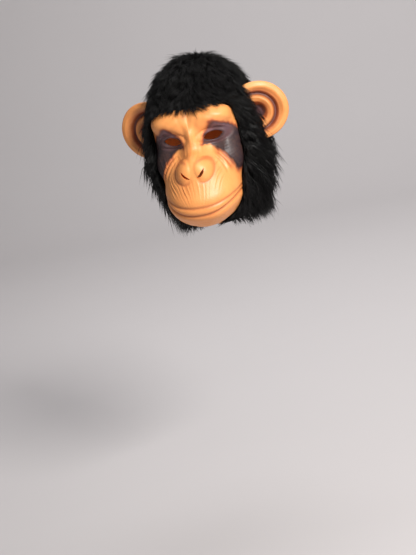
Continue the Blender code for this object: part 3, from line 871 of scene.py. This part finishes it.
def stage_material(name, colours):
    """Pale seamless paper, with hardly any mottle."""
    bench = Bench(name)
    pale = tuple(channel * 1.03 for channel in colours.backdrop)
    shade = bench.blend(bench.noise(3.0, 2.0), tuple(colours.backdrop), pale)
    return bench.finish(Base_Color=shade, Roughness=0.9, Specular_IOR_Level=0.1)


def almond(width, height, slant, side, middle, steps=14, bow=0.0):
    """Outline of a pointed oval made of two parabolas, turned by a slant and bowed."""
    run = np.linspace(-1.0, 1.0, steps + 1)
    across = np.concatenate((run, run[-2:0:-1])) * width / 2.0
    half = np.sqrt(1.0 - run ** 2) * 0.35 + (1.0 - run ** 2) * 0.65
    rise = np.concatenate((-half, half[-2:0:-1])) * height / 2.0
    rise = rise + bow * (1.0 - (2.0 * across / width) ** 2)
    turn = np.radians(slant)
    x = side + across * np.cos(turn) - rise * np.sin(turn)
    z = middle + across * np.sin(turn) + rise * np.cos(turn)
    return np.stack((x, z), -1)


def prism(name, outline, near, far):
    """An outline in X and Z, carried along Y from near to far."""
    loops = [np.insert(outline, 1, place, axis=1) for place in (near, far)]
    return tube(name, *loops)


def face_tools(head):
    """Prisms that open the eyes and the bowed nostril slits."""
    tools = []
    near, far = (share * head.depth for share in TOOL_REACH)
    for side in (-1.0, 1.0):
        eye = almond(
            head.eye_width, head.eye_height, EYE_SLANT * side,
            side * head.eye_spread / 2.0, level(head, EYE_DROP),
        )
        nostril = almond(
            head.nostril_length, head.nostril_width, NOSTRIL_SLANT * side,
            side * head.nostril_spread / 2.0, level(head, NOSTRIL_DROP), 12, NOSTRIL_BOW,
        )
        tools.append(prism("eye_tool", eye, near, far))
        tools.append(prism("nostril_tool", nostril, near, far))
    return tools


class MASK_OT_head(bpy.types.Operator):
    """Make the hollow latex head with its features, openings and paint"""
    bl_idname = "mask.make_head"
    bl_label = "Latex head"

    def execute(self, context):
        head = context.scene.mask_head
        _, _, points, pole = head_grid(head, 0.0, *FINE_GRID)
        points = points + outward(head, points) * Skin(head, points).relief()[..., None]
        skin = add_piece("face_latex", solid_from_grid("face_latex", points, pole, 0.0))
        _, _, inner, inner_pole = head_grid(head, -head.wall, *PLAIN_GRID)
        hollow = solid_from_grid("hollow_tool", inner, inner_pole, head.neck_skirt)
        cut(skin, [add_piece("hollow_tool", hollow)] + face_tools(head))
        for name, values in Skin(head, vertex_points(skin.data)).paint().items():
            store(skin.data, name, values)
        skin.data.materials.append(latex_material("painted_latex", context.scene.mask_colours))
        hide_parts("latex_head")
        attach(skin, BODY)
        return {"FINISHED"}


def ear_rings(across, up):
    """Ring and turn of a place on the ear, by repeated guesses of its ring's middle."""
    out = np.hypot(across, up)
    for _ in range(SHIFT_GUESSES):
        inner = 1.0 - out
        out = np.hypot(across + EAR_SHIFT[0] * inner, up + EAR_SHIFT[1] * inner)
    inner = 1.0 - out
    return out, np.arctan2(up + EAR_SHIFT[1] * inner, across + EAR_SHIFT[0] * inner)


def table_height(rings, out):
    """Smooth steps between the rows of a ring table."""
    height = np.full(out.shape, rings[0].height)
    for first, second in zip(rings[:-1], rings[1:]):
        height = height + (second.height - first.height) * ramp(first.out, second.out, out)
    return height


def ear_place(head, ear, side):
    """Middle of an ear."""
    return np.array((side * (head.width / 2.0 + ear.standoff), 0.0, level(head, EAR_DROP)))


def ear_point(head, ear, side, out, turn, height):
    """Ear's own coordinates to places: out and turn across the cup, height to the front."""
    across = (out * np.cos(turn) - EAR_SHIFT[0] * (1.0 - out)) * ear.width / 2.0
    up = (out * np.sin(turn) - EAR_SHIFT[1] * (1.0 - out)) * ear.height / 2.0
    x = side * (across * np.cos(ear.flare) + height * np.sin(ear.flare))
    y = across * np.sin(ear.flare) - height * np.cos(ear.flare)
    return np.stack((x, y, up), -1) + ear_place(head, ear, side)


def ear_spots(head, ear, side, points):
    """Places to shares of the ear's radii, across and up, and to a height to the front."""
    spots = points - ear_place(head, ear, side)
    across = side * spots[:, 0] * np.cos(ear.flare) + spots[:, 1] * np.sin(ear.flare)
    height = side * spots[:, 0] * np.sin(ear.flare) - spots[:, 1] * np.cos(ear.flare)
    return across / (ear.width / 2.0), spots[:, 2] / (ear.height / 2.0), height


def ear_front(ear, out, turn):
    """Height of the cup's front: ring table, groove fading towards the head and the lobe."""
    height = table_height(EAR_FRONT, out)
    share = ramp(-0.98, -0.72, np.cos(turn)) * (1.0 - 0.5 * ramp(-0.75, -1.0, np.sin(turn)))
    groove = bell(out - 0.64, 0.085)
    height = height + 0.40 * groove * (1.0 - share)
    ridge = 0.14 * bell(out - 0.50, 0.09) * np.sin(2.0 * turn + 0.6)
    ripple = 0.05 * np.sin(5.0 * turn + 8.0 * out) * bell(out - 0.8, 0.2)
    return (height + ridge + ripple) * ear.cup


class MASK_OT_ears(bpy.types.Operator):
    """Make the two cupped ears with their painted grooves"""
    bl_idname = "mask.make_ears"
    bl_label = "Ears"

    def execute(self, context):
        head, ear = context.scene.mask_head, context.scene.mask_ear
        finish = latex_material("ear_latex", context.scene.mask_colours)
        turn = TURN * np.arange(ear.sides) / ear.sides
        front = np.linspace(0.0, 1.0, ear.rings + 1)[1:]
        back = np.linspace(1.0, 0.0, ear.rings // 3 + 1)[:-1]
        for name, side in (("left", 1.0), ("right", -1.0)):
            out, spin = np.meshgrid(front, turn, indexing="ij")
            high = ear_front(ear, out, spin)
            out_back, spin_back = np.meshgrid(back, turn, indexing="ij")
            low = table_height(EAR_BACK[::-1], out_back) * ear.cup - ear.wall
            grid = np.concatenate((ear_point(head, ear, side, out, spin, high),
                                   ear_point(head, ear, side, out_back, spin_back, low)))
            zero = np.zeros(1)
            behind = np.full(1, EAR_BACK[-1].height * ear.cup - ear.wall)
            ends = [ear_point(head, ear, side, zero, zero, height)
                    for height in (ear_front(ear, zero, zero), behind)]
            count = grid.shape[0] * grid.shape[1]
            loop = np.arange(ear.sides)
            caps = [fan(count, loop), fan(count + 1, count - 1 - loop)]
            faces = [grid_quads(*grid.shape[:2])] + caps
            if side < 0.0:
                faces = [group[:, ::-1] for group in faces]
            verts = np.concatenate([grid.reshape(-1, 3)] + ends)
            mesh = mesh_from(f"ear_{name}_latex", verts, faces)
            piece = add_piece(f"ear_{name}_latex", mesh)
            _, _, around, pole = head_grid(head, EAR_GAP, *PLAIN_GRID)
            tool = solid_from_grid("head_tool", around, pole, head.neck_skirt)
            cut(piece, [add_piece("head_tool", tool)])
            self.paint(head, ear, side, piece.data)
            piece.data.materials.append(finish)
            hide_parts(f"ear_{name}")
            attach(piece, BODY)
        return {"FINISHED"}

    def paint(self, head, ear, side, mesh):
        """Purple in the groove and the canal, red round both, paler purple there as a painted
        sheen, and brown in the bowl as painted shade.
        """
        across, up, height = ear_spots(head, ear, side, vertex_points(mesh))
        out, turn = ear_rings(across, up)
        facing = ramp(-0.0022, -0.0010, height - ear_front(ear, out, turn))
        reach = ramp(-0.95, -0.60, np.cos(turn))
        groove = bell(out - 0.630, 0.050) * reach
        shine = bell(out - 0.635, 0.014) * reach
        glow = bell(out - 0.655, 0.100) * (0.4 + 0.6 * reach)
        spot = np.hypot((across - 0.07) / 0.17, (up + 0.04) / 0.22)
        canal = ramp(1.20, 0.85, spot)
        rim = bell(spot - 1.25, 0.30)
        # Painted shade: brown in the bowl, deeper on one side, stored with the crease paint.
        bowl = bell(out - 0.34, 0.10) * (0.6 + 0.4 * np.sin(turn + 0.6))
        streaks = bell(out - 0.70, 0.08) * reach
        streaks = streaks * held(0.5 + 0.9 * np.sin(3.0 * turn + 14.0 * out))
        store(mesh, "purple", held(0.85 * groove + canal) * facing)
        # Painted sheen: paler purple along the groove's shine line and on the glossy canal.
        store(mesh, "painted_sheen", held(0.6 * shine + 0.5 * canal) * facing)
        store(mesh, "red", held(0.95 * glow + 0.70 * rim) * facing)
        store(mesh, "crease", held(0.80 * bowl + 0.55 * streaks) * facing)


def face_margin(bearing, tilt):
    """Degrees from the outline of the bare face: plus outside it, minus inside it."""
    corners = np.array(FACE_EDGE, dtype=float)
    side = np.abs(bearing)
    best = np.full(side.shape, 1e9)
    inside = np.zeros(side.shape, dtype=bool)
    for first, second in zip(corners[:-1], corners[1:]):
        along = second - first
        share = ((side - first[0]) * along[0] + (tilt - first[1]) * along[1]) / (along @ along)
        share = held(share)
        gap = np.hypot(side - first[0] - share * along[0], tilt - first[1] - share * along[1])
        best = np.minimum(best, gap)
        crosses = (first[1] >= tilt) != (second[1] >= tilt)
        limit = first[0] + (tilt - first[1]) / (along[1] if along[1] else 1.0) * along[0]
        inside ^= crosses & (side < limit)
    inside |= (tilt < corners[-1][1])
    return np.where(inside, -best, best)


class MASK_OT_backing(bpy.types.Operator):
    """Make the thin backing that the pile grows from, with its face opening and ear slots"""
    bl_idname = "mask.make_backing"
    bl_label = "Hood backing"

    def execute(self, context):
        head, fur = context.scene.mask_head, context.scene.mask_fur
        _, _, outer, pole = head_grid(head, fur.gap + fur.backing, *PLAIN_GRID)
        _, _, inner, inner_pole = head_grid(head, fur.gap, *PLAIN_GRID)
        piece = add_piece("hood_backing", solid_from_grid("hood_backing", outer, pole, 0.0))
        hollow = solid_from_grid("hollow_tool", inner, inner_pole, head.neck_skirt)
        tools = [add_piece("hollow_tool", hollow), self.window(head)]
        cut(piece, tools + self.slots(head, context.scene.mask_ear))
        piece.data.materials.append(backing_material("black_backing", context.scene.mask_colours))
        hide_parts("fur_hood")
        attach(piece, BODY)
        return {"FINISHED"}

    def window(self, head):
        """Cone from the core through the outline of the bare face."""
        half = np.array(FACE_EDGE, dtype=float)
        other = half[:0:-1] * np.array((-1.0, 1.0))
        bearing, tilt = np.concatenate((half, other)).T
        direction = ray(bearing, tilt)
        middle = direction.mean(0) / np.linalg.norm(direction.mean(0))
        near, far = (share * head.width for share in WINDOW_REACH)
        start = core(head)
        ends = np.stack((start + middle * near, start + middle * far))
        return tube("window_tool", start + direction * near, start + direction * far, ends)

    def slots(self, head, ear):
        """Slabs in the shape of the ears, a little larger all round."""
        turn = TURN * np.arange(SLOT_SIDES) / SLOT_SIDES
        out = np.full(SLOT_SIDES, EAR_SLOT.out)
        heights = (EAR_SLOT.front * ear.cup, EAR_SLOT.back * ear.cup - ear.wall)
        tools = []
        for side in (1.0, -1.0):
            loops = [ear_point(head, ear, side, out, turn, height) for height in heights]
            tools.append(tube("slot_tool", *loops, flip=side < 0.0))
        return tools


def even_directions(count):
    """Bearings and tilts of a golden-angle spiral over the whole sphere."""
    index = np.arange(count) + 0.5
    tilt = np.degrees(np.arcsin(1.0 - 2.0 * index / count))
    bearing = (index * GOLDEN_ANGLE + 180.0) % 360.0 - 180.0
    return bearing, tilt


def near_ear(head, ear, points):
    """True where a root would stand on the edge of an ear."""
    hits = np.zeros(len(points), dtype=bool)
    for side in (1.0, -1.0):
        across, up, height = ear_spots(head, ear, side, points)
        hits |= ((np.hypot(across, up) < EAR_CLEAR.out) & (height < EAR_CLEAR.front * ear.cup)
                 & (height > EAR_CLEAR.back * ear.cup - ear.wall))
    return hits


def fur_flow(head, points, normal, margin, tilt, draw):
    """Tangent that the pile lies along: down and back from the face, forwards on the brow."""
    side = points[:, 0] / (0.5 * head.width)
    forward = -points[:, 1] / (0.5 * head.depth)
    crown = ramp(level(head, 0.35), level(head, 0.05), points[:, 2])
    back = 0.30 * ramp(-0.2, 0.6, -forward) + 0.25 * (1.0 - crown)
    back = back - 0.75 * crown * ramp(-0.35, 0.25, forward)
    wish = np.stack((0.55 * side, back, -1.0 + 0.55 * crown), -1)
    inwards = ramp(9.0, 0.0, margin) * ramp(30.0, 10.0, tilt)
    wish[:, 0] -= 1.05 * np.sign(side) * inwards
    wish[:, 1] -= 0.75 * inwards
    drift = np.stack([wave_noise(points, 0.070, seed) for seed in (41, 42, 43)], -1)
    wish = wish + 0.28 * drift + 0.10 * draw.normal(size=wish.shape)
    wish = wish - (wish * normal).sum(-1)[:, None] * normal
    return wish / np.linalg.norm(wish, axis=-1)[:, None]


class MASK_OT_fur(bpy.types.Operator):
    """Grow the pile as tufts of tapered strands, in four pieces"""
    bl_idname = "mask.grow_fur"
    bl_label = "Fur"

    def execute(self, context):
        head, fur = context.scene.mask_head, context.scene.mask_fur
        draw = np.random.default_rng(fur.seed)
        bearing, tilt = even_directions(fur.tufts)
        middle = head_surface(head, bearing, tilt, fur.gap + fur.backing - ROOT_SINK)
        reach = np.linalg.norm(middle - core(head), axis=-1)
        normal = outward(head, middle)
        area = reach ** 2 / np.clip((normal * ray(bearing, tilt)).sum(-1), 0.3, 1.0)
        keep = draw.uniform(size=len(area)) < area / np.percentile(area, 92.0)
        keep &= (face_margin(bearing, tilt) > 0.1) & (middle[:, 2] > rim_level(head) + 0.001)
        keep &= ~near_ear(head, context.scene.mask_ear, middle)
        middle, normal, bearing, tilt = middle[keep], normal[keep], bearing[keep], tilt[keep]
        strands = self.strands(head, fur, draw, middle, normal, bearing, tilt)
        finish = fur_material("black_pile", context.scene.mask_colours)
        for name, share in self.shares(strands).items():
            chosen = {key: part[share] for key, part in strands.items()}
            piece = add_piece(name, self.mesh(name, fur, chosen))
            piece.data.materials.append(finish)
            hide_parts("fur_hood")
            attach(piece, BODY)
        return {"FINISHED"}

    def strands(self, head, fur, draw, middle, normal, bearing, tilt):
        """Roots round each tuft's middle, and tips that lean together along the flow."""
        margin = face_margin(bearing, tilt)
        flow = fur_flow(head, middle, normal, margin, tilt, draw)
        cheek = ramp(58.0, 8.0, tilt) * ramp(25.0, 60.0, np.abs(bearing))
        size = fur.crown_length + (fur.cheek_length - fur.crown_length) * cheek
        size = size * (1.0 - (0.28 - 0.14 * cheek) * ramp(16.0, 0.0, margin))
        size = size * (1.0 + 0.40 * wave_noise(middle, 0.030, 51) * ramp(14.0, 0.0, margin))
        low = ramp(rim_level(head) + 0.035, rim_level(head), middle[:, 2])
        size = size * (1.0 - 0.30 * low) * draw.uniform(0.72, 1.25, len(size))
        behind = ramp(105.0, 150.0, np.abs(bearing))
        beside = bell(np.abs(bearing) - 78.0, 20.0) * bell(tilt - 14.0, 26.0)
        rise = 0.24 + 0.30 * cheek * (1.0 - 0.65 * behind) * (1.0 - 0.35 * beside)
        rise = rise + draw.normal(0.0, 0.05, len(size))
        rise = rise * (0.60 + 0.40 * ramp(0.0, 10.0, margin)) * (1.0 - 0.5 * low)
        tuft = np.repeat(np.arange(len(middle)), fur.hairs)
        across = np.cross(normal, flow)
        ring = np.sqrt(draw.uniform(size=len(tuft)))
        spin = draw.uniform(0.0, TURN, len(tuft))
        place = np.stack((ring * np.cos(spin), ring * np.sin(spin)), -1) * fur.tuft_radius
        spot = place[:, :1] * across[tuft] + place[:, 1:] * flow[tuft]
        root = middle[tuft] + spot
        gap = head_distance(head, root) - (fur.gap + fur.backing - ROOT_SINK)
        root = root - normal[tuft] * gap[:, None]
        own = (draw.uniform(0.70, 1.08, len(tuft)) * size[tuft])[:, None]
        stray = 0.11 * draw.normal(size=(len(tuft), 3))
        gather = -0.55 * spot / own
        lean = flow[tuft] + gather + stray
        up = (rise[tuft] + 0.05 * draw.normal(size=len(tuft)))[:, None]
        bend = normal[tuft] * up
        half = root + own * (0.43 * lean + 0.80 * bend)
        tip = root + own * (lean * 0.95 + bend)
        hem = rim_level(head) - HEM_BELOW - HEM_RAGGED * draw.uniform(size=len(tuft))
        spare = np.clip(hem - tip[:, 2], 0.0, None)
        tip[:, 2] += spare
        half[:, 2] += 0.3 * spare
        return {
            "root": root, "half": half, "tip": tip, "across": across[tuft],
            "tone": draw.uniform(size=len(tuft)) ** 2.2,
            "bearing": bearing[tuft], "tilt": tilt[tuft],
        }

    def shares(self, strands):
        """Which strands belong to which piece."""
        bearing, tilt = strands["bearing"], strands["tilt"]
        top = tilt > CROWN_TILT
        back = ~top & (np.abs(bearing) > BACK_BEARING)
        beside = ~top & ~back
        return {
            "fur_crown": top, "fur_back": back,
            "fur_left": beside & (bearing > 0.0), "fur_right": beside & (bearing <= 0.0),
        }

    def mesh(self, name, fur, strands):
        """Three-sided spikes: a ring at the root, a ring half way, and a point."""
        count = len(strands["root"])
        across = strands["across"]
        upright = np.cross(across, strands["tip"] - strands["root"]) / STRAND_LENGTH
        rings = []
        for key, share in (("root", 1.0), ("half", 0.72)):
            for turn in TURN * np.arange(3) / 3.0:
                side = across * np.cos(turn) + upright * np.sin(turn)
                rings.append(strands[key] + side * share * fur.hair_radius)
        rings.append(strands["tip"])
        verts = np.stack(rings, 1).reshape(-1, 3)
        base = STRAND_CORNERS * np.arange(count)[:, None, None]
        mesh = mesh_from(name, verts, [(base + np.array(STRAND_FACES)).reshape(-1, 3)])
        store(mesh, "tone", np.repeat(strands["tone"], STRAND_CORNERS))
        store(mesh, "along", np.tile((0.0, 0.0, 0.0, 0.5, 0.5, 0.5, 1.0), count))
        return mesh


class MASK_OT_stage(bpy.types.Operator):
    """Set up the pale backdrop, the soft lights and the camera"""
    bl_idname = "mask.set_stage"
    bl_label = "Stage"

    def execute(self, context):
        scene = context.scene
        run = np.linspace(0.0, 3.0, SWEEP_ROWS)
        bent = held(run - 1.0) * np.pi / 2.0
        y = NEAR_EDGE + (WALL_AT - NEAR_EDGE) * held(run) + BEND * np.sin(bent)
        z = FLOOR + BEND * (1.0 - np.cos(bent)) + WALL_HIGH * held(run - 2.0)
        x = np.linspace(-HALF_WIDE, HALF_WIDE, SWEEP_COLUMNS)
        wide, deep = np.meshgrid(x, y)
        _, high = np.meshgrid(x, z)
        verts = np.stack((wide, deep, high), -1).reshape(-1, 3)
        row, column = np.meshgrid(
            np.arange(SWEEP_ROWS - 1), np.arange(SWEEP_COLUMNS - 1), indexing="ij"
        )
        corners = np.array((0, 1, SWEEP_COLUMNS + 1, SWEEP_COLUMNS))
        cell = (row * SWEEP_COLUMNS + column)[..., None] + corners
        sweep = add_piece("backdrop", mesh_from("backdrop", verts, [cell.reshape(-1, 4)]))
        sweep.data.materials.append(stage_material("backdrop_paper", scene.mask_colours))
        for lamp in LAMPS:
            self.light(scene, lamp)
        world = bpy.data.worlds.new("studio")
        world.use_nodes = True
        ground = world.node_tree.nodes["Background"]
        ground.inputs["Color"].default_value = WORLD_TINT
        ground.inputs["Strength"].default_value = WORLD_STRENGTH
        scene.world = world
        scene.view_settings.view_transform = "Standard"
        self.camera(scene)
        return {"FINISHED"}

    def light(self, scene, lamp):
        """A square soft light, turned to its target."""
        light = bpy.data.lights.new(lamp.name, "AREA")
        light.energy = lamp.power
        light.size = lamp.size
        light.color = lamp.tint
        item = bpy.data.objects.new(lamp.name, light)
        scene.collection.objects.link(item)
        item.location = lamp.place
        aim = Vector(lamp.target) - Vector(lamp.place)
        item.rotation_euler = aim.to_track_quat("-Z", "Y").to_euler()

    def camera(self, scene):
        """Pinhole at the photograph's angle: the middle of the ears stays at its pixel."""
        place, head = scene.mask_camera, scene.mask_head
        wide, high = PICTURE
        anchor = Vector((0.0, 0.0, level(head, CAMERA_DROP)))
        focal = place.distance * 1000.0 / place.scale
        turn, drop, roll = place.azimuth, place.elevation, place.roll
        back = Vector((np.sin(turn) * np.cos(drop), -np.cos(turn) * np.cos(drop), np.sin(drop)))
        level_right = Vector((np.cos(turn), np.sin(turn), 0.0))
        level_up = level_right.cross(-back)
        right = level_right * np.cos(roll) - level_up * np.sin(roll)
        up = level_right * np.sin(roll) + level_up * np.cos(roll)
        aim = Vector((
            (ANCHOR_PIXEL[0] - wide / 2.0) / focal, (high / 2.0 - ANCHOR_PIXEL[1]) / focal, -1.0
        ))
        spin = Vector((0.0, 0.0, -1.0)).rotation_difference(aim.normalized())
        basis = Matrix((right, up, back)).transposed() @ spin.to_matrix().inverted()
        lens = bpy.data.cameras.new("camera")
        lens.sensor_width = 36.0
        lens.lens = focal / high * lens.sensor_width
        lens.clip_end = 50.0
        item = bpy.data.objects.new("camera", lens)
        scene.collection.objects.link(item)
        place_at = anchor + back * place.distance * aim.length
        item.matrix_world = Matrix.Translation(place_at) @ basis.to_4x4()
        scene.camera = item


class MASK_PT_panel(bpy.types.Panel):
    """List the steps of the mask, and its sizes and colours"""
    bl_idname = "MASK_PT_panel"
    bl_label = "Ape mask"
    bl_space_type = "VIEW_3D"
    bl_region_type = "UI"
    bl_category = "Mask"

    def draw(self, context):
        for step in STEPS:
            self.layout.operator(step.bl_idname)
        for key in GROUPS:
            box = self.layout.box()
            group = getattr(context.scene, key)
            for name in group.__annotations__:
                box.prop(group, name)


STEPS = (MASK_OT_stage, MASK_OT_head, MASK_OT_ears, MASK_OT_backing, MASK_OT_fur)
GROUPS = {
    "mask_head": HeadSizes,
    "mask_ear": EarSizes,
    "mask_fur": FurSizes,
    "mask_colours": MaskColours,
    "mask_camera": CameraPlace,
}
CLASSES = tuple(GROUPS.values()) + STEPS + (MASK_PT_panel,)


def register():
    for item in CLASSES:
        bpy.utils.register_class(item)
    for key, group in GROUPS.items():
        setattr(bpy.types.Scene, key, PointerProperty(type=group))


def unregister():
    for key in GROUPS:
        delattr(bpy.types.Scene, key)
    for item in reversed(CLASSES):
        bpy.utils.unregister_class(item)


def main():
    register()
    for step in STEPS:
        family, name = step.bl_idname.split(".")
        getattr(getattr(bpy.ops, family), name)()


if __name__ == "__main__":
    main()
